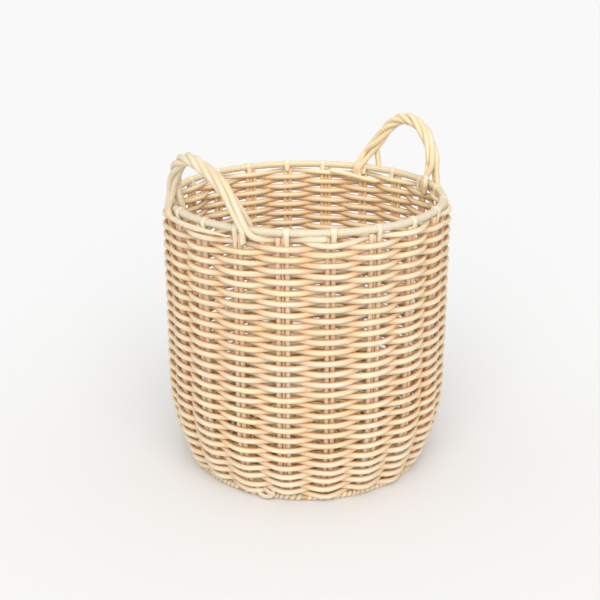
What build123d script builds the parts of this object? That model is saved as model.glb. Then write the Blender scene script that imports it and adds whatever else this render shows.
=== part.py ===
"""Round woven rattan basket with two twisted handles, as separate strands and rods.

The frame: +Z is up and the origin is the centre of the foot, on the surface that the basket
stands on. The handles are on the +X and -X sides. Stake group 1 is on +X, and the groups are
numbered anticlockwise as seen from above.
"""
from build123d import *
import math
import os

# Wall
STAKE_GROUPS = 20          # even, so that two weavers chase each other round
STAKE_LINE_RADIUS = 142.35  # centres of the upright rods, on the straight part of the wall
BEND_START = 95.0          # below this height the wall curves in towards the foot
WALL_BEND_RADIUS = 205.0
ROD_DIAMETER = 5.0
THIN_ROD_DIAMETER = 3.2
PAIR_OFFSET = 2.8          # rod centres either side of a two-rod group's middle
TRIPLE_OFFSET = 4.3        # outer rod centres of a group with a thin rod in its middle
STAKE_TOP = 286.4
STAKE_BOTTOM = 8.4

# Weavers
WEAVER_DIAMETER = 4.8
ROWS = 50
ROWS_PER_NODE = 2          # one round of the two chasing weavers
TOP_ROW_HEIGHT = 276.5
BOTTOM_ROW_HEIGHT = 9.6
WEAVE_DEPTH = 5.35         # rod centre to weaver centre, square to the wall
OUTER_BEND = 30.0
INNER_BEND = 60.0

# Rim
RIM_RADIUS = 141.3
RIM_HEIGHT = 290.5
RIM_HOOP_DIAMETER = 5.4
RIM_WRAPPED_DIAMETER = 7.5
STRAP_WIDTH = 5.4
STRAP_THICKNESS = 1.1
STRAP_FOOT_HEIGHT = 279.4

# Foot
FOOT_RADIUS = 123.0
FOOT_HEIGHT = 3.3
FOOT_HOOP_DIAMETER = 5.0
FOOT_WRAPPED_DIAMETER = 7.2

# Base
STICKS_PER_WAY = 5
STICK_DIAMETER = 4.5
STICK_SPACING = 5.2
STICK_HEIGHT = 9.0
STICK_END_HEIGHT = 4.3
STICK_END_RADIUS = 119.2
STICK_LEVEL_FROM = 30.0    # the crossing layers have come to one level by this radius
STICK_LEVEL_TO = 104.0     # beyond this radius the sticks slope down to the foot
BASE_WEAVER_DIAMETER = 3.8
BASE_FIRST_ROUND = 36.0
BASE_ROUND_PITCH = 5.0
BASE_ROUNDS = 16
BASE_BEND = 5.0
BASE_CLEARANCE = 0.4       # leaves room for the sticks' own curves

# Handles
HANDLE_STRANDS = 4
HANDLE_STRAND_DIAMETER = 4.8
HANDLE_LAY_RADIUS = 4.1    # strand centres from the middle of the twist
HANDLE_TWIST = 720.0       # degrees from foot to foot
HANDLE_LEAN = 4.0          # outward at the top of the arch
FOOT_SPREAD = 6.4          # strand centres in from and out from the rim's centre line
STRAND_END_HEIGHT = 279.6
TWIST_POINTS = 30
# The arch, as distance round the rim from the handle's middle and height over the rim
HANDLE_ARCH = [(-59, 17), (-54, 32), (-45, 46), (-31, 56), (-14, 60), (2, 57), (16, 48), (28, 35), (39, 19)]
HANDLE_FEET = (-60.0, 51.5)

CLEARANCE = 0.05
GROUP_ANGLE = 360.0 / STAKE_GROUPS

os.makedirs("parts", exist_ok=True)


def save(part, name):
    """Label a finished piece and write its STEP file."""
    part.label = name
    export_step(part, f"parts/{name}.step")


def cylindrical(radius, angle, height):
    """The point at a radius, an angle in degrees from +X, and a height."""
    return Vector(radius * math.cos(math.radians(angle)), radius * math.sin(math.radians(angle)), height)


def radial_plane(angle, shift=0.0):
    """The upright plane at an angle: its x is outward and its y is up; shift moves it sideways."""
    outward = cylindrical(1, angle, 0)
    sideways = cylindrical(1, angle + 90, 0)
    return Plane(origin=sideways * shift, x_dir=outward, z_dir=-sideways)


def wall_bend(height):
    """How far the wall has leant in at a height, in radians from upright."""
    return math.asin(max(0.0, BEND_START - height) / WALL_BEND_RADIUS)


def stake_radius(height):
    """Radius of the stake line at a height."""
    return STAKE_LINE_RADIUS - WALL_BEND_RADIUS * (1 - math.cos(wall_bend(height)))


def row_heights():
    """Heights of the rows from the top down, evenly spaced along the stakes."""
    straight = TOP_ROW_HEIGHT - BEND_START
    pitch = (straight + WALL_BEND_RADIUS * wall_bend(BOTTOM_ROW_HEIGHT)) / (ROWS - 1)
    heights = []
    for row in range(ROWS):
        along = row * pitch
        bent = max(0.0, along - straight) / WALL_BEND_RADIUS
        heights.append(TOP_ROW_HEIGHT - min(along, straight) - WALL_BEND_RADIUS * math.sin(bent))
    return heights


def weave_ring(middle, depth):
    """Corner radii and bend radii, inside then outside, of a row that clears the stakes by depth."""
    step = math.radians(GROUP_ANGLE)
    closer = (middle / STAKE_LINE_RADIUS) ** 2 * WEAVE_DEPTH / depth  # bends tighten with the spacing
    inner_bend = INNER_BEND * closer
    outer_bend = OUTER_BEND * closer
    inner = middle - depth
    outer = middle + depth
    for _ in range(40):
        outer_turn = math.atan2(outer - inner * math.cos(step), inner * math.sin(step))
        inner_turn = outer_turn - step
        outer = middle + depth + outer_bend * (1 / math.cos(outer_turn) - 1)
        inner = middle - depth - inner_bend * (1 / math.cos(inner_turn) - 1)
    return (inner, inner_bend), (outer, outer_bend)


def tube(path, diameter):
    """Sweep a round section along a path, inside the current part."""
    with BuildSketch(Plane(origin=path @ 0, z_dir=path % 0)) as section:
        Circle(diameter / 2)
    sweep(section.sketch, path=path)


def smooth_path(points):
    """Straight runs through the points, joined by tangent arcs as large as the runs allow."""
    radii = []
    for before, corner, after in zip(points, points[1:], points[2:]):
        first = corner - before
        second = after - corner
        half_turn = math.radians(first.get_angle(second) / 2)
        radii.append(0.45 * min(first.length, second.length) / math.tan(half_turn))
    with BuildLine() as line:
        FilletPolyline(*points, radius=radii)
    return line.wire()


def make_weavers():
    """Rows of plain weave: each row passes outside every other group and inside the rest."""
    heights = row_heights()
    for first in range(0, ROWS, ROWS_PER_NODE):
        with BuildPart() as weaver:
            for row in range(first, first + ROWS_PER_NODE):
                height = heights[row]
                depth = WEAVE_DEPTH / math.cos(wall_bend(height))
                inside, outside = weave_ring(stake_radius(height), depth)
                corners = []
                bends = []
                for group in range(STAKE_GROUPS):
                    radius, bend = inside if (group + row) % 2 else outside
                    corners.append(cylindrical(radius, group * GROUP_ANGLE, height))
                    bends.append(bend)
                with BuildLine() as line:
                    FilletPolyline(*corners, radius=bends, close=True)
                tube(line.wire(), WEAVER_DIAMETER)
        save(weaver.part, f"weaver_pair_{first // ROWS_PER_NODE + 1:02d}")


def make_stakes():
    """Upright rods in groups: two rods, or on every other group two with a thin rod between."""
    bend = wall_bend(STAKE_BOTTOM)
    for group in range(STAKE_GROUPS):
        if group % 2:
            rods = [(-PAIR_OFFSET, ROD_DIAMETER), (PAIR_OFFSET, ROD_DIAMETER)]
        else:
            rods = [(-TRIPLE_OFFSET, ROD_DIAMETER), (0, THIN_ROD_DIAMETER), (TRIPLE_OFFSET, ROD_DIAMETER)]
        with BuildPart() as stakes:
            for shift, diameter in rods:
                with BuildLine(radial_plane(group * GROUP_ANGLE, shift)) as line:
                    upright = Line((STAKE_LINE_RADIUS, STAKE_TOP), (STAKE_LINE_RADIUS, BEND_START))
                    JernArc(upright @ 1, upright % 1, WALL_BEND_RADIUS, -math.degrees(bend))
                tube(line.wire(), diameter)
        save(stakes.part, f"stake_group_{group + 1:02d}")


def make_ring(radius, height, outer_diameter, inner_diameter=0.0):
    """A hoop, or with an inner diameter the hollow binding round one, flat where it meets Z = 0."""
    with BuildPart() as ring:
        with BuildSketch(Plane.XZ):
            with Locations((radius, height)):
                Circle(outer_diameter / 2)
                if inner_diameter:
                    Circle(inner_diameter / 2, mode=Mode.SUBTRACT)
        revolve(axis=Axis.Z)
        if height < outer_diameter / 2:
            split(bisect_by=Plane.XY, keep=Keep.TOP)
    return ring.part


def make_rim_and_foot():
    """The rim hoop and foot hoop, each inside its closely wound binding."""
    rim_bore = RIM_HOOP_DIAMETER + 2 * CLEARANCE
    foot_bore = FOOT_HOOP_DIAMETER + 2 * CLEARANCE
    save(make_ring(RIM_RADIUS, RIM_HEIGHT, RIM_HOOP_DIAMETER), "rim_hoop")
    save(make_ring(RIM_RADIUS, RIM_HEIGHT, RIM_WRAPPED_DIAMETER, rim_bore), "rim_binding")
    save(make_ring(FOOT_RADIUS, FOOT_HEIGHT, FOOT_HOOP_DIAMETER), "foot_hoop")
    save(make_ring(FOOT_RADIUS, FOOT_HEIGHT, FOOT_WRAPPED_DIAMETER, foot_bore), "foot_binding")


def make_straps():
    """Flat straps that fold over the bound rim, one beside the middle of each stake group."""
    reach = RIM_WRAPPED_DIAMETER / 2 + STRAP_THICKNESS / 2 + 4 * CLEARANCE
    with BuildPart() as straps:
        for group in range(STAKE_GROUPS):
            beside_foot = group % (STAKE_GROUPS // 2) == 1
            shift = -PAIR_OFFSET if beside_foot else PAIR_OFFSET
            with BuildSketch(radial_plane(group * GROUP_ANGLE, shift)):
                with BuildLine():
                    inside = Line((RIM_RADIUS - reach, STRAP_FOOT_HEIGHT), (RIM_RADIUS - reach, RIM_HEIGHT))
                    over = ThreePointArc(
                        inside @ 1,
                        (RIM_RADIUS, RIM_HEIGHT + reach),
                        (RIM_RADIUS + reach, RIM_HEIGHT),
                    )
                    Line(over @ 1, (RIM_RADIUS + reach, STRAP_FOOT_HEIGHT))
                trace(line_width=STRAP_THICKNESS)
            extrude(amount=STRAP_WIDTH / 2, both=True)
    save(straps.part, "rim_straps")


def stick_half(offset, fan_angle, layer):
    """One half of a base stick, from the crossing outward: points for a stick along +X."""
    ray = cylindrical(1, fan_angle, 0)
    knee = STICK_SPACING / math.tan(math.radians(GROUP_ANGLE))
    if offset:
        knee = offset / math.tan(math.radians(fan_angle))
    return [
        Vector(knee, offset, STICK_HEIGHT + layer),
        ray * STICK_LEVEL_FROM + Vector(0, 0, STICK_HEIGHT),
        ray * STICK_LEVEL_TO + Vector(0, 0, STICK_HEIGHT),
        ray * STICK_END_RADIUS + Vector(0, 0, STICK_END_HEIGHT),
    ]


def make_base_sticks():
    """Five sticks crossed over five, fanned out so that an end lies under every stake group."""
    layer = STICK_DIAMETER / 2 + CLEARANCE
    with BuildPart() as sticks:
        for way, level in ((0, -layer), (90, layer)):
            for place in range(STICKS_PER_WAY):
                step = place - STICKS_PER_WAY // 2
                ahead = stick_half(step * STICK_SPACING, step * GROUP_ANGLE, level)
                behind = [Vector(-point.X, point.Y, point.Z) for point in reversed(ahead)]
                path = smooth_path([point.rotate(Axis.Z, way) for point in behind + ahead])
                tube(path, STICK_DIAMETER)
    save(sticks.part, "base_sticks")


def stick_level(radius):
    """Height of a base stick's centre at a radius."""
    beyond = max(0.0, radius - STICK_LEVEL_TO) / (STICK_END_RADIUS - STICK_LEVEL_TO)
    return STICK_HEIGHT + beyond * (STICK_END_HEIGHT - STICK_HEIGHT)


def make_base_weave():
    """Rounds of weaver over one stick and under the next, from the crossing to the foot."""
    depth = (STICK_DIAMETER + BASE_WEAVER_DIAMETER) / 2 + BASE_CLEARANCE
    with BuildPart() as weave:
        for number in range(BASE_ROUNDS):
            radius = BASE_FIRST_ROUND + number * BASE_ROUND_PITCH
            half_step = radius * math.sin(math.radians(GROUP_ANGLE / 2))
            reach = math.hypot(half_step, BASE_BEND - depth)
            slope = math.atan2(half_step, BASE_BEND - depth) - math.acos(BASE_BEND / reach)
            corner = half_step * math.tan(slope)
            points = []
            for stick in range(STAKE_GROUPS):
                side = 1 if (stick + number) % 2 else -1
                points.append(cylindrical(radius, stick * GROUP_ANGLE, stick_level(radius) + side * corner))
            with BuildLine() as line:
                FilletPolyline(*points, radius=BASE_BEND, close=True)
            tube(line.wire(), BASE_WEAVER_DIAMETER)
    save(weave.part, "base_weave")


def rim_point(around, rise, outward=0.0):
    """A point near the rim by its distance round the rim, its height over it and its way out."""
    return cylindrical(RIM_RADIUS + outward, math.degrees(around / RIM_RADIUS), RIM_HEIGHT + rise)


def handle_strand(arch, strand):
    """One strand: up one foot, round the twist along the arch, and down the other foot."""
    phase = 45.0 + strand * 360.0 / HANDLE_STRANDS
    points = []
    for step in range(TWIST_POINTS + 1):
        share = step / TWIST_POINTS
        centre = arch @ share
        along = arch % share
        outward = Vector(centre.X, centre.Y, 0).normalized()
        outward = (outward - along * outward.dot(along)).normalized()
        across = along.cross(outward)
        # the lay is tighter over the top of the arch than in its legs
        turned = share - math.sin(2 * math.pi * share) / (3 * math.pi)
        angle = math.radians(phase + HANDLE_TWIST * turned)
        points.append(centre + (outward * math.cos(angle) + across * math.sin(angle)) * HANDLE_LAY_RADIUS)
    out = FOOT_SPREAD if math.cos(math.radians(phase)) > 0 else -FOOT_SPREAD
    beside = HANDLE_LAY_RADIUS * math.sin(math.radians(phase))
    drop = STRAND_END_HEIGHT - RIM_HEIGHT
    start, finish = HANDLE_FEET
    up = [rim_point(start + beside, drop, out), rim_point(start + beside, 2.0, out)]
    down = [rim_point(finish - beside, 2.0, out), rim_point(finish - beside, drop, out)]
    return smooth_path(up + points + down)


def make_handles():
    """Two arches of four twisted strands; the second is the first turned half round."""
    tallest = max(rise for around, rise in HANDLE_ARCH)
    with BuildLine() as arch:
        Spline(*[rim_point(around, rise, HANDLE_LEAN * rise / tallest) for around, rise in HANDLE_ARCH])
    for strand in range(HANDLE_STRANDS):
        with BuildPart() as right:
            tube(handle_strand(arch.wire(), strand), HANDLE_STRAND_DIAMETER)
        with BuildPart() as left:
            add(right.part.rotate(Axis.Z, 180))
        save(right.part, f"right_handle_strand_{strand + 1}")
        save(left.part, f"left_handle_strand_{strand + 1}")


make_weavers()
make_stakes()
make_rim_and_foot()
make_straps()
make_base_sticks()
make_base_weave()
make_handles()
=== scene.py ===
"""The looks of the woven basket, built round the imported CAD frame, in metres."""
import math

import bpy
import numpy as np
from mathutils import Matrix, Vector


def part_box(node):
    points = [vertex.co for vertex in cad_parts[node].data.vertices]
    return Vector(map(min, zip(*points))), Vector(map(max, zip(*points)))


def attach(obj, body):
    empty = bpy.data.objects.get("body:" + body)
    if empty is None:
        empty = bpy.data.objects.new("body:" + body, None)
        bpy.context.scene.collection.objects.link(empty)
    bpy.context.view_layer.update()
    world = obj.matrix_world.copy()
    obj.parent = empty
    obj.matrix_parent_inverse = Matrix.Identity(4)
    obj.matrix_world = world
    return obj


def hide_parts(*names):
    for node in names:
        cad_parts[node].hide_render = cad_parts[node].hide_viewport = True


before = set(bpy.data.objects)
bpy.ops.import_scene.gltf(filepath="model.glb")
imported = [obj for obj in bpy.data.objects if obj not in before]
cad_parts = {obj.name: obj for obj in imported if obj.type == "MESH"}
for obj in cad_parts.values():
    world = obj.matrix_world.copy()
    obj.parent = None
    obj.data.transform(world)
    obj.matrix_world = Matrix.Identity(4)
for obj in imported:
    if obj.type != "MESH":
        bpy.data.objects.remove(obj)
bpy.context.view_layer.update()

random = np.random.default_rng(27)

MM = 0.001
TAU = 2 * math.pi

# Counts and sizes of the weave
GROUPS = 20
GROUP_STEP = TAU / GROUPS
ROWS = 50
STRAND = 2.95 * MM           # half the height of a weaver, which is a little less deep
STRAND_DEPTH = 0.87
WEAVE_DEPTH = 5.35 * MM      # from the stake line to a weaver's centre, square to the wall
ROD = 2.5 * MM               # radius of an upright rod
THIN_ROD = 1.55 * MM
PAIR_OFFSET = 2.85 * MM
TRIPLE_OFFSET = 4.4 * MM
WALL_BEND_START = 95 * MM
ROUND_SAMPLES = 400          # points along one round of a weaver
CAD_WEAVER = 2.4 * MM        # radius of the frame's weavers
BEVEL = 0.3 * MM             # how far a cut face stands out from its strand
LAP_SHIFT = 4.3 * MM         # how far a row's end is laid aside from the strand that it laps


# ---- Places taken from the frame -------------------------------------------------------------

def ring_of(node):
    """Radius, height and tube radius of a hoop node, from its box."""
    low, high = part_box(node)
    tube = (high[2] - low[2]) / 2
    return high[0] - tube, (high[2] + low[2]) / 2, tube


RIM_RADIUS, RIM_HEIGHT, RIM_TUBE = ring_of("rim_binding")
FOOT_RADIUS, FOOT_HEIGHT, FOOT_CORE = ring_of("foot_hoop")
FOOT_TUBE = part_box("foot_binding")[1][2] - FOOT_HEIGHT

stake_low, stake_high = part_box("stake_group_01")
STAKE_RADIUS = stake_high[0] - ROD
STAKE_TOP = stake_high[2]
STAKE_BOTTOM = stake_low[2] + 1.1 * MM
foot_inset = STAKE_RADIUS - (stake_low[0] + ROD * 0.9)
bend_height = WALL_BEND_START - STAKE_BOTTOM
WALL_BEND_RADIUS = (foot_inset ** 2 + bend_height ** 2) / (2 * foot_inset)


def wall_lean(height):
    """How far the wall leans in at a height, in radians from upright."""
    return np.arcsin(np.maximum(0, WALL_BEND_START - height) / WALL_BEND_RADIUS)


def stake_radius(height):
    """Radius of the stake line at a height."""
    return STAKE_RADIUS - WALL_BEND_RADIUS * (1 - np.cos(wall_lean(height)))


def row_heights():
    """The rows' heights, from the boxes of their CAD nodes."""
    heights = []
    for pair in range(ROWS // 2):
        low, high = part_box(f"weaver_pair_{pair + 1:02d}")
        heights += [high[2] - CAD_WEAVER, low[2] + CAD_WEAVER]
    return heights


# ---- Mesh work -------------------------------------------------------------------------------

def cyl(radius, angle, height):
    """Points from cylindrical coordinates; any of the three may be arrays."""
    radius, angle, height = np.broadcast_arrays(radius, angle, height)
    return np.stack([radius * np.cos(angle), radius * np.sin(angle), height], -1).astype(float)


def wander(count, knots, size):
    """A smooth wandering curve of count values, with a spread of about size."""
    values = random.normal(0, size, knots + 2)
    place = np.linspace(0, knots, count)
    before = place.astype(int)
    share = (1 - np.cos(math.pi * (place - before))) / 2
    return values[before] * (1 - share) + values[before + 1] * share


def smooth(points, per_run=10):
    """A smooth curve through given points (Catmull-Rom), as an array."""
    points = np.asarray(points, float)
    ends = np.vstack([2 * points[0] - points[1], points, 2 * points[-1] - points[-2]])
    out = []
    for i in range(1, len(ends) - 2):
        a, b, c, d = ends[i - 1:i + 3]
        t = np.linspace(0, 1, per_run, endpoint=False)[:, None]
        square, cube = 2 * a - 5 * b + 4 * c - d, 3 * b - a - 3 * c + d
        out.append(0.5 * (2 * b + (c - a) * t + square * t ** 2 + cube * t ** 3))
    out.append(points[-1][None])
    return np.vstack(out)


def relaxed(points, spacing, passes):
    """The same curve at an even spacing, with its kinks smoothed out and its ends kept."""
    along = np.concatenate([[0], np.cumsum(np.linalg.norm(np.diff(points, axis=0), axis=1))])
    even = np.linspace(0, along[-1], max(8, int(along[-1] / spacing)))
    points = np.stack([np.interp(even, along, points[:, axis]) for axis in range(3)], -1)
    for _ in range(passes):
        points[1:-1] = (points[:-2] + 2 * points[1:-1] + points[2:]) / 4
    return points


def unit(vectors):
    """The vectors scaled to length one."""
    return vectors / np.maximum(np.linalg.norm(vectors, axis=-1, keepdims=True), 1e-12)


def carried(facing, path):
    """A facing vector carried along path without turning round it."""
    tangents = unit(np.gradient(path, axis=0))
    out = []
    for tangent in tangents:
        facing = unit(facing - tangent * np.dot(facing, tangent))
        out.append(facing)
    return np.array(out)


class Strands:
    """Collects tubes into one mesh, with what their material needs: grain, tone, a mask of painted shade in
    the creases, cut faces, and the inward side that takes a painted warm bounce light.
    """

    def __init__(self):
        self.points, self.faces, self.grain, self.tone, self.stain, self.cut = [], [], [], [], [], []
        self.inside = []
        self.count = 0

    def add(self, path, width, depth=None, facing=None, tone=None, stain=None, sides=12, closed=False,
            slants=(0, 0)):
        """A tube along path. width and depth are half sizes, across and along the facing vectors.

        The shade mask argument gives how deep the painted shade lies in the creases, by place along the tube
        and by the turn round it.
        """
        n = len(path)
        width = np.broadcast_to(np.asarray(width, float), (n,))
        depth = width if depth is None else np.broadcast_to(np.asarray(depth, float), (n,))
        if closed:
            tangent = unit(np.roll(path, -1, 0) - np.roll(path, 1, 0))
        else:
            tangent = unit(np.gradient(path, axis=0))
        if facing is None:
            facing = unit(path * [1, 1, 0])
        normal = unit(facing - tangent * np.sum(facing * tangent, -1, keepdims=True))
        across = np.cross(tangent, normal)
        turn = np.linspace(0, TAU, sides, endpoint=False)
        ring = (across[:, None] * (np.cos(turn)[None, :, None] * width[:, None, None])
                + normal[:, None] * (np.sin(turn)[None, :, None] * depth[:, None, None]))
        for end, slant in zip((0, n - 1), slants):
            ring[end] += tangent[end] * (slant * np.cos(turn) * width[end])[:, None]
        along = np.concatenate([[0], np.cumsum(np.linalg.norm(np.diff(path, axis=0), axis=1))])
        shift = random.uniform(-5, 5)
        grain = np.stack(np.broadcast_arrays(
            along[:, None] + shift,
            np.cos(turn)[None] * width[:, None] + shift,
            np.sin(turn)[None] * depth[:, None]), -1)
        if tone is None:
            tone = np.full(n, random.uniform(0, 1))
        tone = np.broadcast_to(np.asarray(tone, float), (n,))
        start = self.count
        self.points.append((path[:, None] + ring).reshape(-1, 3))
        self.grain.append(grain.reshape(-1, 3))
        self.tone.append(np.repeat(tone, sides))
        if stain is None:
            stain = np.zeros((n, 1))
        self.stain.append(np.broadcast_to(stain, (n, sides)).ravel())
        self.cut.append(np.zeros(n * sides))
        # the inward-facing side of the tube, which the material tints with a painted warm bounce light
        inward = -unit(path * [1, 1, 0])[:, None]
        self.inside.append(np.clip(np.sum(unit(ring) * inward, -1) * 1.4 + 0.2, 0, 1).ravel())
        last = n if closed else n - 1
        a = np.arange(last)[:, None] * sides + np.arange(sides)[None]
        b = np.arange(last)[:, None] * sides + (np.arange(sides)[None] + 1) % sides
        up = ((np.arange(last) + 1) % n)[:, None] * sides - np.arange(last)[:, None] * sides
        self.faces.append((np.stack([a, a + up, b + up, b], -1).reshape(-1, 4) + start).tolist())
        self.count += n * sides
        if not closed:
            for end, way in ((0, -1), (n - 1, 1)):
                first = start + end * sides
                self.cap(path[end], tangent[end] * way, ring[end], grain[end], tone[end], way, first, sides)

    def cap(self, centre, out, ring, grain, tone, way, rim, sides):
        """Closes an end, whose first point is number rim, with a bevelled, paler cut face."""
        inner = centre + ring * 0.82 + out * BEVEL
        first = self.count
        self.points += [inner, centre[None] + out * BEVEL]
        self.grain += [grain, grain.mean(0)[None]]
        self.tone.append(np.full(sides + 1, tone))
        self.stain.append(np.zeros(sides + 1))
        self.cut.append(np.ones(sides + 1))
        self.inside.append(np.zeros(sides + 1))
        faces = []
        for k in range(sides):
            m = (k + 1) % sides
            quad = [rim + k, rim + m, first + m, first + k]
            fan = [first + k, first + m, first + sides]
            faces += [quad, fan] if way < 0 else [quad[::-1], fan[::-1]]
        self.faces.append(faces)
        self.count += sides + 1

    def piece(self, name, material, slot, nodes):
        """The finished object, riding on the root and standing for the CAD nodes."""
        mesh = bpy.data.meshes.new(name)
        faces = [face for group in self.faces for face in group]
        mesh.from_pydata(np.concatenate(self.points).tolist(), [], faces)
        mesh.polygons.foreach_set("use_smooth", [True] * len(mesh.polygons))
        grain = mesh.attributes.new("grain", "FLOAT_VECTOR", "POINT")
        grain.data.foreach_set("vector", np.concatenate(self.grain).ravel())
        for key in ("tone", "stain", "cut", "inside"):
            values = getattr(self, key)
            mesh.attributes.new(key, "FLOAT", "POINT").data.foreach_set("value", np.concatenate(values))
        mesh.materials.append(material)
        mesh.update()
        piece = bpy.data.objects.new(name, mesh)
        bpy.context.scene.collection.objects.link(piece)
        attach(piece, "root")
        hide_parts(*nodes)
        return piece


# ---- Material --------------------------------------------------------------------------------

def rattan(name, pale, deep, warm, roughness=0.52, streak=0.5, bump=0.25):
    """Peeled rattan: streaks along the strand, a tone for each strand, warm stains, painted shade in the
    creases, a painted warm bounce light on the inward side, fine grooves.
    """
    material = bpy.data.materials.new(name)
    material.use_nodes = True
    nodes, links = material.node_tree.nodes, material.node_tree.links
    shader = nodes["Principled BSDF"]

    def attribute(key):
        node = nodes.new("ShaderNodeAttribute")
        node.attribute_name = key
        return node

    def scaled(source, scale):
        node = nodes.new("ShaderNodeVectorMath")
        node.operation = "MULTIPLY"
        node.inputs[1].default_value = scale
        links.new(source, node.inputs[0])
        return node.outputs[0]

    def noise(source, detail, rough):
        node = nodes.new("ShaderNodeTexNoise")
        node.inputs["Scale"].default_value = 1
        node.inputs["Detail"].default_value = detail
        node.inputs["Roughness"].default_value = rough
        links.new(source, node.inputs["Vector"])
        return node.outputs["Fac"]

    def ramp(source, stops):
        node = nodes.new("ShaderNodeValToRGB")
        while len(node.color_ramp.elements) < len(stops):
            node.color_ramp.elements.new(0.5)
        for element, (place, colour) in zip(node.color_ramp.elements, stops):
            element.position = place
            element.color = (*colour, 1)
        links.new(source, node.inputs[0])
        return node.outputs[0]

    def grey(low, high):
        return (low, (0, 0, 0)), (high, (1, 1, 1))

    def mix(factor, first, second):
        node = nodes.new("ShaderNodeMix")
        node.data_type = "RGBA"
        for key, value in (("Factor", factor), (6, first), (7, second)):
            socket = node.inputs[key]
            if isinstance(value, bpy.types.NodeSocket):
                links.new(value, socket)
            else:
                socket.default_value = value
        return node.outputs[2]

    grain = attribute("grain").outputs["Vector"]
    place = nodes.new("ShaderNodeNewGeometry").outputs["Position"]
    streaks = noise(scaled(grain, (70, 1500, 1500)), 5, 0.6)
    fibres = noise(scaled(grain, (160, 5200, 5200)), 3, 0.6)
    blotch = noise(scaled(grain, (34, 200, 200)), 4, 0.55)
    # real stains of the cane, in blotches by place in the object
    stain = noise(scaled(place, (14, 14, 14)), 3, 0.5)
    tone = attribute("tone").outputs["Fac"]
    body = ramp(tone, ((0.0, deep), (0.45, tuple((p + d) / 2 for p, d in zip(pale, deep))), (1.0, pale)))
    streaked = mix(ramp(streaks, grey(0.42, 0.72)), body, (*warm, 1))
    body = mix(streak, body, streaked)
    blotched = mix(ramp(blotch, grey(0.45, 0.8)), body, (*deep, 1))
    body = mix(0.55, body, blotched)
    body = mix(ramp(fibres, ((0.35, (0.10,) * 3), (0.7, (0.0,) * 3))), body, (*warm, 1))
    stained = mix(ramp(stain, grey(0.5, 0.75)), body, (*warm, 1))
    body = mix(0.2, body, stained)
    # painted bounce light: the inward-facing side is tinted redder and more orange, as if lit by warm light
    # bounced inside the basket
    painted_bounce_tint = mix(0.7, body, (*(min(1, c * k) for c, k in zip(pale, (1.28, 1.06, 0.80))), 1))
    body = mix(attribute("inside").outputs["Fac"], body, painted_bounce_tint)
    # painted shade: the crease mask pulls the colour toward a dark warm tone, where neighbouring strands
    # shade this one
    body = mix(attribute("stain").outputs["Fac"], body, (*(0.9 * c for c in warm), 1))
    pith = ramp(noise(scaled(grain, (900, 2600, 2600)), 2, 0.5), ((0.3, deep), (0.6, pale)))
    body = mix(attribute("cut").outputs["Fac"], body, pith)
    links.new(body, shader.inputs["Base Color"])

    rough = nodes.new("ShaderNodeMapRange")
    rough.inputs["To Min"].default_value = roughness - 0.12
    rough.inputs["To Max"].default_value = roughness + 0.16
    links.new(streaks, rough.inputs["Value"])
    links.new(rough.outputs["Result"], shader.inputs["Roughness"])
    bumps = nodes.new("ShaderNodeBump")
    bumps.inputs["Strength"].default_value = bump
    bumps.inputs["Distance"].default_value = 0.25 * MM
    links.new(fibres, bumps.inputs["Height"])
    links.new(bumps.outputs["Normal"], shader.inputs["Normal"])
    shader.inputs["Specular IOR Level"].default_value = 0.5
    return material


# ---- Weavers ---------------------------------------------------------------------------------

# Rows whose ends show: the group they are laid at, the lap, whether it lies outside, and the way round
LAPS = {0: (15, 0.20, False, -1), 1: (6, 0.2, False, 1)}


def weave_row(strands, row, height):
    """One row: outside every other group and inside the rest, its two ends laid side by side."""
    lap = random.uniform(0.16, 0.26)
    outside = random.random() < 0.3
    way = random.choice([-1, 1])
    group = int(random.integers(GROUPS // 2)) * 2 + (row + (0 if outside else 1)) % 2
    if outside and group > 6:
        group, outside = group + 1, False
    if row in LAPS:
        group, lap, outside, way = LAPS[row]
    turn = np.linspace(-lap, TAU + lap, ROUND_SAMPLES + 24)
    angle = group * GROUP_STEP + way * turn
    phase = angle * GROUPS / 2 + math.pi * row
    count = len(turn)
    lean = wall_lean(height)
    wave = np.cos(phase) + (0.16 * lean - 0.025) * np.cos(3 * phase)
    reach = WEAVE_DEPTH * wave * (1 + wander(count, 40, 0.05))
    radius = stake_radius(height) + reach * np.cos(lean)
    level = height - reach * np.sin(lean) + wander(count, 44, 0.28 * MM) + wander(count, 7, 0.35 * MM)
    thick = STRAND * (random.uniform(0.95, 1.04) + wander(count, 30, 0.018)) * (1.05 - 0.05 * np.abs(wave))
    # the first end lies against the row's own last end, and both are cut to a slant
    beside = np.clip((2 * lap - turn - lap) / (1.2 * lap), 0, 1)
    beside = beside * beside * (3 - 2 * beside)
    radius = radius + beside * (LAP_SHIFT if outside else -LAP_SHIFT)
    slant = np.minimum(1, 0.2 + (turn + lap) / 0.07) * np.minimum(1, 0.25 + (TAU + lap - turn) / 0.06)
    tone = np.clip(random.beta(2.6, 1.8) + wander(count, 12, 0.10), 0, 1)
    # painted shade lies where neighbours meet and shade the strand: over and under at the crossings, and
    # against the rods
    sides = 14
    across = np.abs(np.cos(np.linspace(0, TAU, sides, endpoint=False)))[None]
    crossing_shade = (1 - np.abs(wave))[:, None]
    outside_part = np.clip(wave, 0, 1)[:, None]
    behind = np.clip(-np.sin(np.linspace(0, TAU, sides, endpoint=False)), 0, 1)[None] * outside_part
    stain = np.clip(across ** 7 * (0.55 + 0.45 * crossing_shade) + 0.36 * crossing_shade ** 2 + 0.55 * behind, 0, 1)
    cuts = random.uniform(-1.2, 1.2, 2)
    path = cyl(radius, angle, level)
    width = thick * slant
    strands.add(path, width, width * STRAND_DEPTH, tone=tone, stain=stain, sides=sides, slants=cuts)


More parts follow.
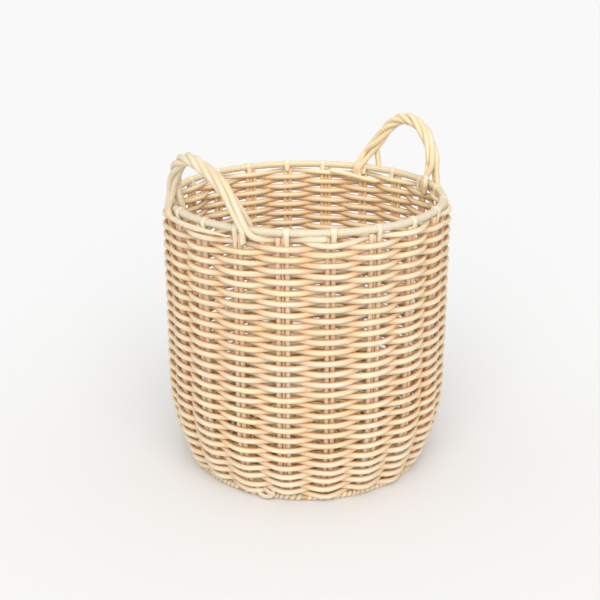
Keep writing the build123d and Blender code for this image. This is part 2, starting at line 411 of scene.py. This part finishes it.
def last_half_row(strands):
    """The weavers' ends: a last row close under the rim, both ends outside, and a tip laid in beside it."""
    group = np.linspace(-7.62, 10.85, 400)
    count = len(group)
    wave = -np.cos(math.pi * group)
    wave = np.where(group > 9, np.maximum(wave, 1 - 0.1 * (group - 9)), wave)
    places = [-7.62, -7.0, -6.2, -5.0, 2.2, 8.4, 9.4, 10.4, 10.85]
    level = np.interp(group, places, [282.0, 279.0, 281.6, 281.8, 281.9, 281.8, 283.2, 284.0, 283.4])
    level = level * MM + wander(count, 30, 0.2 * MM)
    slant = np.minimum(1, 0.3 + (group + 7.62) / 0.3) * np.minimum(1, 0.22 + (10.85 - group) / 1.1)
    tone = np.clip(0.75 + wander(count, 8, 0.08), 0, 1)
    path = cyl(STAKE_RADIUS + WEAVE_DEPTH * wave, group * GROUP_STEP, level)
    strands.add(path, STRAND * 0.93 * slant, STRAND * 0.85 * slant, tone=tone, sides=14, slants=(1.2, -1.2))
    group = np.linspace(1.85, 0.42, 40)
    inward = np.interp(group, [0.42, 0.9, 1.85], [9.2, 10.0, 6.5]) * MM
    level = np.interp(group, [0.42, 0.8, 1.3, 1.85], [278.2, 279.0, 281.6, 284.2]) * MM
    slant = np.minimum(1, 0.5 + (group - 0.42) / 0.25)
    path = cyl(STAKE_RADIUS - inward, group * GROUP_STEP, level)
    strands.add(path, STRAND * 0.95 * slant, STRAND * 0.8 * slant, tone=0.95, slants=(0, 1.4))


def make_weavers():
    """The rows of the wall, two to a piece."""
    material = rattan("rattan_weaver", (0.70, 0.685, 0.56), (0.735, 0.68, 0.455), (0.62, 0.24, 0.04))
    heights = row_heights()
    for pair in range(ROWS // 2):
        strands = Strands()
        for row in (2 * pair, 2 * pair + 1):
            weave_row(strands, row, heights[row])
        if pair == 0:
            last_half_row(strands)
        strands.piece(f"woven_rows_{pair + 1:02d}", material, "weaver", [f"weaver_pair_{pair + 1:02d}"])


# ---- Stakes and straps -----------------------------------------------------------------------

def strap_side(group):
    """The side of its group that a strap folds over the rim, clear of the handles' feet."""
    return -1 if group % (GROUPS // 2) == 1 else 1


def upright(group, shift, top, inset):
    """Centre points of an upright rod from the foot to its top, set in a little, with a slight wander."""
    count = 70
    height = np.linspace(STAKE_BOTTOM, top, count)
    radius = stake_radius(height) + wander(count, 8, 0.12 * MM)
    sideways = shift + wander(count, 7, 0.16 * MM)
    radius = radius - inset
    return cyl(radius, group * GROUP_STEP + sideways / radius, height)


def make_stakes():
    """The uprights: two thick rods in each group, and a thin one between them in every other group."""
    material = rattan("rattan_stake", (0.81, 0.65, 0.475), (0.72, 0.49, 0.30), (0.54, 0.22, 0.07))
    for group in range(GROUPS):
        strands = Strands()
        side = strap_side(group)
        offset = TRIPLE_OFFSET if group % 2 == 0 else PAIR_OFFSET
        rods = [(-side * offset, ROD, STAKE_TOP - random.uniform(0, 1.5) * MM)]
        rods.append((side * offset, ROD, STAKE_TOP - 7.5 * MM))
        if group % 2 == 0:
            rods.append((random.uniform(-0.3, 0.3) * MM, THIN_ROD, STAKE_TOP - random.uniform(0, 3) * MM))
        for shift, size, top in rods:
            inset = 0.9 * MM if size < ROD else 0
            path = upright(group, shift, top, inset)
            thick = size * (random.uniform(0.95, 1.03) + wander(len(path), 9, 0.02))
            strands.add(path, thick, tone=np.clip(random.uniform(0.2, 1) + wander(len(path), 5, 0.08), 0, 1))
        strands.piece(f"uprights_{group + 1:02d}", material, "stake", [f"stake_group_{group + 1:02d}"])


def make_straps():
    """The rod of each group that folds flat over the rim, from the wall outside to the wall inside."""
    material = rattan(
        "rattan_strap", (0.69, 0.67, 0.54), (0.67, 0.605, 0.44), (0.60, 0.38, 0.18), streak=0.35)
    strands = Strands()
    reach = RIM_TUBE + 0.15 * MM
    for group in range(GROUPS):
        offset = TRIPLE_OFFSET if group % 2 == 0 else PAIR_OFFSET
        shift = strap_side(group) * (offset - 0.6 * MM) + random.uniform(-0.4, 0.4) * MM
        lean = random.uniform(-0.9, 0.9) * MM
        tail = (284.0 if 0 < group < 10 else 281.5) * MM
        around = np.linspace(-0.15, math.pi + 0.15, 15)
        arch = [(RIM_RADIUS + reach * math.cos(a), RIM_HEIGHT + reach * math.sin(a)) for a in around]
        profile = [(STAKE_RADIUS, STAKE_TOP - 8.5 * MM), (STAKE_RADIUS + 0.9 * MM, STAKE_TOP - 4.5 * MM)]
        profile += arch + [(RIM_RADIUS - reach, tail + 2.5 * MM), (RIM_RADIUS - reach + 0.5 * MM, tail)]
        curve = smooth([(r, 0, h) for r, h in profile], 4)
        share = np.linspace(0, 1, len(curve))
        angle = group * GROUP_STEP + (shift + lean * share) / RIM_RADIUS
        path = cyl(curve[:, 0], angle, curve[:, 2])
        flat = np.clip(np.minimum(share / 0.2, (1 - share) / 0.1), 0, 1)
        width = (2.5 + 0.85 * flat) * MM * random.uniform(0.94, 1.06)
        depth = (2.3 - 1.45 * flat) * MM
        facing = unit(path - cyl(RIM_RADIUS, angle, RIM_HEIGHT))
        strands.add(path, width, depth, facing, tone=random.uniform(0.35, 1))
    strands.piece("rim_strap_folds", material, "strap", ["rim_straps"])


# ---- Bound hoops -----------------------------------------------------------------------------

def bound_ring(name, node, material, radius, height, tube, core, turns, gaps,
               slope=1, per_turn=8, sides=24):
    """A hoop wound with peel: a rounded ridge for every turn, and the core showing in the gaps.

    slope is how many turns' widths a turn moves on as it goes once round the hoop's tube.
    """
    count = turns * per_turn
    along = np.arange(count)
    swell = np.cumsum(1 + 0.35 * np.sin(along / per_turn * 0.7) * np.sin(along / per_turn * 0.23 + 1))
    theta = swell / swell[-1] * TAU
    phi = np.linspace(0, TAU, sides, endpoint=False)
    phase = along[:, None] / per_turn - slope * ((phi[None] + math.pi / 2) % TAU) / TAU
    turn = np.floor(phase).astype(int) % turns
    place = phase - np.floor(phase)
    present = random.random(turns) >= gaps
    lift = random.uniform(-0.12, 0.12, turns) * MM
    tones = np.clip(0.75 + random.normal(0, 0.10, turns) + wander(turns, turns // 12, 0.08), 0, 1)
    ridge = (1 - (2 * place - 1) ** 4) * (tube - core) + lift[turn]
    size = np.where(present[turn], core + ridge, core - 0.3 * MM)
    out = radius + size * np.cos(phi)[None]
    points = cyl(out, theta[:, None], height + size * np.sin(phi)[None])
    points[..., 2] = np.maximum(points[..., 2], 0)
    mesh = bpy.data.meshes.new(name)
    a = along[:, None] * sides + np.arange(sides)[None]
    b = along[:, None] * sides + (np.arange(sides)[None] + 1) % sides
    step = ((along + 1) % count - along)[:, None] * sides
    faces = np.stack([a, a + step, b + step, b], -1).reshape(-1, 4)
    mesh.from_pydata(points.reshape(-1, 3).tolist(), [], faces.tolist())
    mesh.polygons.foreach_set("use_smooth", [True] * len(mesh.polygons))
    grain = np.stack([phi[None] * tube + turn * 0.37, place * 2 * MM, turn * 0.11 + 0 * place], -1)
    attribute = mesh.attributes.new("grain", "FLOAT_VECTOR", "POINT")
    attribute.data.foreach_set("vector", grain.ravel())
    # painted shade: the creases between turns, and the core showing in the gaps, are darkened toward the warm
    # tone
    edge = np.abs(2 * place - 1) ** 5
    tone = np.where(present[turn], tones[turn], 0.2)
    stain = np.where(present[turn], 0.75 * edge, 0.9)
    mesh.attributes.new("tone", "FLOAT", "POINT").data.foreach_set("value", tone.ravel())
    mesh.attributes.new("stain", "FLOAT", "POINT").data.foreach_set("value", stain.ravel())
    # the inward half of the hoop, for the material's painted warm bounce light
    inside = np.clip(-np.cos(phi)[None] * 1.4 + 0.2, 0, 1) + 0 * place
    mesh.attributes.new("inside", "FLOAT", "POINT").data.foreach_set("value", inside.ravel())
    mesh.materials.append(material)
    piece = bpy.data.objects.new(name, mesh)
    bpy.context.scene.collection.objects.link(piece)
    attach(piece, "root")
    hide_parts(node)
    return piece


# The foot peel's end, knotted at one place: distance round the foot, height, and way out from the hoop, in mm
KNOT_PLACE = math.radians(206.2)
KNOT_LOOP = [(-10, 11.5, 4.2), (-8.5, 8, 5.2), (-5, 4.6, 5.8), (0, 3.4, 6.4), (5, 4.8, 6.0), (7.5, 8.2, 5.2),
             (6, 12, 4.2)]
KNOT_BAND = [(9, 5, 4.4), (6.5, 7.5, 6.6), (1.5, 10.5, 6.4), (-2.5, 12.2, 4.6)]


def make_bindings():
    """The peel wound round the rim and round the foot, and the knot that ends it."""
    rim = rattan("rattan_rim_peel", (0.66, 0.645, 0.525), (0.64, 0.56, 0.40), (0.54, 0.33, 0.15), streak=0.3)
    foot = rattan(
        "rattan_foot_peel", (0.72, 0.63, 0.46), (0.64, 0.48, 0.30), (0.27, 0.12, 0.045), streak=0.35)
    core = RIM_TUBE - 0.45 * MM
    bound_ring("rim_winding", "rim_binding", rim, RIM_RADIUS, RIM_HEIGHT, RIM_TUBE, core, 390, 0.0,
               slope=4)
    core = FOOT_TUBE - 1.4 * MM
    bound_ring("foot_winding", "foot_binding", foot, FOOT_RADIUS, FOOT_HEIGHT, FOOT_TUBE, core,
               126, 0.16, slope=1, per_turn=16)
    strands = Strands()
    for route, tone in ((KNOT_LOOP, 0.9), (KNOT_BAND, 0.75)):
        route = smooth([(FOOT_RADIUS + out * MM, KNOT_PLACE + around * MM / FOOT_RADIUS, up * MM)
                        for around, up, out in route], 10)
        path = cyl(route[:, 0], route[:, 1], route[:, 2])
        strands.add(path, 2.3 * MM, 1.1 * MM, tone=tone, slants=(1, -1))
    strands.piece("foot_knot", foot, "binding", [])


# ---- Handles ---------------------------------------------------------------------------------

# The arch: distance round the rim from the handle's middle, height over the rim, and lean outward, in mm
NEAR_ARCH = [(-57, 12, 1), (-53, 24, 1.6), (-44.5, 38.5, 2.7), (-30, 52, 3.6), (-14, 58.5, 4), (2, 56, 4),
             (16.5, 49.5, 3.4), (29, 38.5, 2.6), (38.5, 26, 1.7), (46.5, 13, 1)]
FAR_ARCH = [(-62, 12, 1), (-63.5, 25, 1.7), (-56, 38.5, 2.6), (-44, 50, 3.4), (-28, 58.5, 4), (-14, 61.7, 4),
            (-2, 60, 4), (10, 52.8, 3.6), (20.2, 41.3, 2.8), (27.5, 31, 2), (35.5, 22, 1.5), (43.5, 10, 1)]
# Each strand's end at the first foot and at the last foot, as such points with the distance out from the rim
NEAR_ENDS = [
    ([(-57, -10, 4.2), (-57, -6, 5.9), (-57.5, 1, 6.9)], [(54, 1, -6.9), (54.5, -6, -6.6), (55, -12, -6.4)]),
    ([(-54, -15, -6.0), (-54, -8, -6.6), (-54.5, 1, -6.8)],
     [(53.5, 6.5, 6.2), (59.5, -3, 5.6), (69, -7.4, 1.6), (80, -8.2, -3.4),
      (90, -8.0, -5.2), (100, -7.2, -3.2), (112, -5.4, 2.2), (127.5, -4.6, 5.4)]),
    ([(-60, -15, -6.4), (-59.5, -8, -6.6), (-59, 1, -6.8)],
     [(51.5, 1, 6.9), (52, -6, 6.9), (52.8, -12.5, 6.6)]),
    ([(-62, -10, 4.2), (-62, -6, 5.8), (-62, 1, 6.8)], [(49, 1, -6.9), (49, -6, -6.6), (49, -12, -6.4)]),
]
FAR_ENDS = [
    ([(-63, -12, 4.2), (-62.5, -7, 5.9), (-61.5, 1, 7.0)],
     [(49.5, 2, -7.0), (50.5, -3, -6.8), (51, -6.5, -6.4)]),
    ([(-62, -9.5, -6.2), (-64, -4, -6.8), (-66, 3, -7.0)], [(48, 2, 7.0), (49.5, -5, 6.4), (50, -9, 5.4)]),
    ([(-57, -9, -6.0), (-59, -4, -6.8), (-61.5, 3, -7.0)],
     [(31, 24, 4.5), (29, 12, 6.2), (28, 2, 7.0), (28, -4, 6.8)]),
    ([(-68, -11, 4.2), (-67.5, -7, 5.8), (-66.5, 1, 7.0)],
     [(45.5, 1, -7.0), (46, -3, -6.8), (46.5, -9, -6.4)]),
]
LAY = 4.1 * MM
TURNS = 1.5
HANDLE_STRAND = 3.1 * MM


def rim_points(points, middle):
    """Points near the rim, in mm from the handle's middle, over the rim and out from it."""
    points = np.asarray(points, float) * MM
    return cyl(RIM_RADIUS + points[:, 2], middle + points[:, 0] / RIM_RADIUS, RIM_HEIGHT + points[:, 1])


def make_handle(side, middle, arch, ends):
    """Four strands twisted round an arch, parting at its feet to pass inside and outside the rim."""
    material = bpy.data.materials.get("rattan_handle") or rattan(
        "rattan_handle", (0.69, 0.65, 0.51), (0.67, 0.58, 0.40), (0.56, 0.32, 0.13), streak=0.6)
    line = smooth(rim_points(arch, middle), 8)
    count = len(line)
    share = np.linspace(0, 1, count)
    tangent = unit(np.gradient(line, axis=0))
    outward = unit(line * [1, 1, 0])
    outward = unit(outward - tangent * np.sum(outward * tangent, -1, keepdims=True))
    across = np.cross(tangent, outward)
    # the lay is tighter over the top of the arch than in its legs
    turned = share - np.sin(TAU * share) / (3 * math.pi)
    for number, (first, last) in enumerate(ends):
        angle = math.pi / 4 + number * math.pi / 2 + TAU * TURNS * turned + wander(count, 5, 0.10)
        lay = LAY * (0.9 + 0.22 * (2 * share - 1) ** 2 + wander(count, 6, 0.04))
        twist = line + lay[:, None] * (outward * np.cos(angle)[:, None] + across * np.sin(angle)[:, None])
        route = smooth(np.vstack([rim_points(first, middle), twist[4:-4:4], rim_points(last, middle)]), 8)
        path = relaxed(route, 1.2 * MM, 3)
        thick = HANDLE_STRAND * (random.uniform(0.96, 1.04) + wander(len(path), 9, 0.03))
        strands = Strands()
        strands.add(path, thick, facing=carried(path[0] * [1, 1, 0], path), sides=14,
                    slants=random.uniform(-1.3, 1.3, 2),
                    tone=np.clip(random.uniform(0.45, 0.95) + wander(len(path), 6, 0.08), 0, 1))
        node = f"{side}_handle_strand_{number + 1}"
        strands.piece(f"{side}_handle_twist_{number + 1}", material, "handle", [node])


# ---- Base ------------------------------------------------------------------------------------

STICK_SPACING = 5.2 * MM
STICK = 2.25 * MM
BASE_STRAND = 1.95 * MM


def make_base():
    """Crossed sticks fanned out under the stakes, and rounds of weaver over and under them."""
    material = rattan("rattan_base", (0.84, 0.70, 0.45), (0.76, 0.52, 0.26), (0.56, 0.27, 0.09))
    low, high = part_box("base_sticks")
    end_radius, end_height = high[0], low[2] + STICK
    level = high[2] - 2 * STICK
    slope_from = end_radius - 15 * MM

    def stick_level(radius):
        return level + (end_height - level) * np.clip((radius - slope_from) / (end_radius - slope_from), 0, 1)

    strands = Strands()
    for way, layer in ((0, -STICK), (math.pi / 2, STICK)):
        for step in range(-2, 3):
            fan = step * GROUP_STEP
            knee = STICK_SPACING / math.tan(GROUP_STEP) if step == 0 else step * STICK_SPACING / math.tan(fan)
            half = [(knee, step * STICK_SPACING, level + layer)]
            for radius in (34 * MM, 70 * MM, slope_from, end_radius):
                half.append((radius * math.cos(fan), radius * math.sin(fan), float(stick_level(radius))))
            back = [(-x, y, z) for x, y, z in reversed(half)]
            flat = smooth(back + half, 8)
            c, s = math.cos(way), math.sin(way)
            x, y, z = flat.T
            path = np.stack([x * c - y * s, x * s + y * c, z], -1)
            up = np.tile([0.0, 0.0, 1.0], (len(path), 1))
            strands.add(path, STICK * (1 + wander(len(path), 10, 0.03)), facing=up)
    strands.piece("base_cross", material, "stake", ["base_sticks"])

    strands = Strands()
    rounds = 16
    first = 36 * MM
    pitch = 5 * MM
    for number in range(rounds):
        radius = first + number * pitch
        count = 260 + number * 12
        angle = np.linspace(0, TAU, count, endpoint=False)
        phase = angle * GROUPS / 2 + math.pi * (number + 1)
        depth = STICK + BASE_STRAND + 0.1 * MM
        wave = np.clip(np.cos(phase) * 1.08, -1, 1)
        wobble = 0.25 * MM * np.sin(angle * 3 + number) + 0.18 * MM * np.sin(angle * 7 + 2 * number)
        path = cyl(radius + wobble, angle, stick_level(radius) + depth * wave)
        up = np.tile([0.0, 0.0, 1.0], (count, 1))
        thick = BASE_STRAND * (1.12 + 0.05 * np.sin(angle * 5 + number * 1.7))
        tone = np.clip(random.beta(2.5, 2) + 0.1 * np.sin(angle * 2 + number), 0, 1)
        strands.add(path, thick, facing=up, tone=tone, sides=10, closed=True)
    strands.piece("base_rounds", material, "base_weaver", ["base_weave"])


def dress_hoops():
    """The two hoops stay as they are inside their windings, and get the rattan finish."""
    material = rattan("rattan_hoop", (0.72, 0.52, 0.30), (0.55, 0.35, 0.17), (0.44, 0.23, 0.09))
    for node in ("rim_hoop", "foot_hoop"):
        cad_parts[node].data.materials.clear()
        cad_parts[node].data.materials.append(material)


# ---- Stage -----------------------------------------------------------------------------------

def plain(name, colour, roughness):
    """A matt material for the floor."""
    material = bpy.data.materials.new(name)
    material.use_nodes = True
    shader = material.node_tree.nodes["Principled BSDF"]
    shader.inputs["Base Color"].default_value = (*colour, 1)
    shader.inputs["Roughness"].default_value = roughness
    return material


def make_stage():
    """A pale floor, an even sky and two soft lights from the front."""
    bpy.ops.mesh.primitive_plane_add(size=12, location=(0, 0, -0.2 * MM))
    floor = bpy.context.object
    floor.name = "floor"
    floor.data.materials.append(plain("pale_floor", (0.755, 0.755, 0.755), 0.8))
    world = bpy.data.worlds.new("studio")
    world.use_nodes = True
    world.node_tree.nodes["Background"].inputs["Color"].default_value = (1.0, 1.0, 0.995, 1)
    world.node_tree.nodes["Background"].inputs["Strength"].default_value = 0.82
    bpy.context.scene.world = world
    lights = (("key", 1.5, 60, (0.50, 0.55, -0.70)), ("fill", 0.9, 50, (0.65, 0.62, -0.38)))
    for name, energy, angle, way in lights:
        light = bpy.data.lights.new(name, "SUN")
        light.angle = math.radians(angle)
        light.energy = energy
        lamp = bpy.data.objects.new(name, light)
        lamp.rotation_euler = Vector(way).to_track_quat("-Z", "Y").to_euler()
        bpy.context.scene.collection.objects.link(lamp)


def make_camera():
    """A camera looking slightly down at the basket from between its handles."""
    distance, height, tilt, turn = 1.1408, 0.5889, 20, 0.356
    direction = math.radians(225)
    data = bpy.data.cameras.new("camera")
    data.sensor_width = 36
    data.lens = 67.596
    camera = bpy.data.objects.new("camera", data)
    camera.location = (distance * math.cos(direction), distance * math.sin(direction), height)
    camera.rotation_euler = (math.radians(90 - tilt), 0, math.radians(turn - 45))
    bpy.context.scene.collection.objects.link(camera)
    bpy.context.scene.camera = camera
    bpy.context.scene.view_settings.view_transform = "Standard"


make_camera()
make_stage()
make_weavers()
make_stakes()
make_straps()
make_bindings()
make_handle("left", math.pi, NEAR_ARCH, NEAR_ENDS)
make_handle("right", 0.0, FAR_ARCH, FAR_ENDS)
make_base()
dress_hoops()
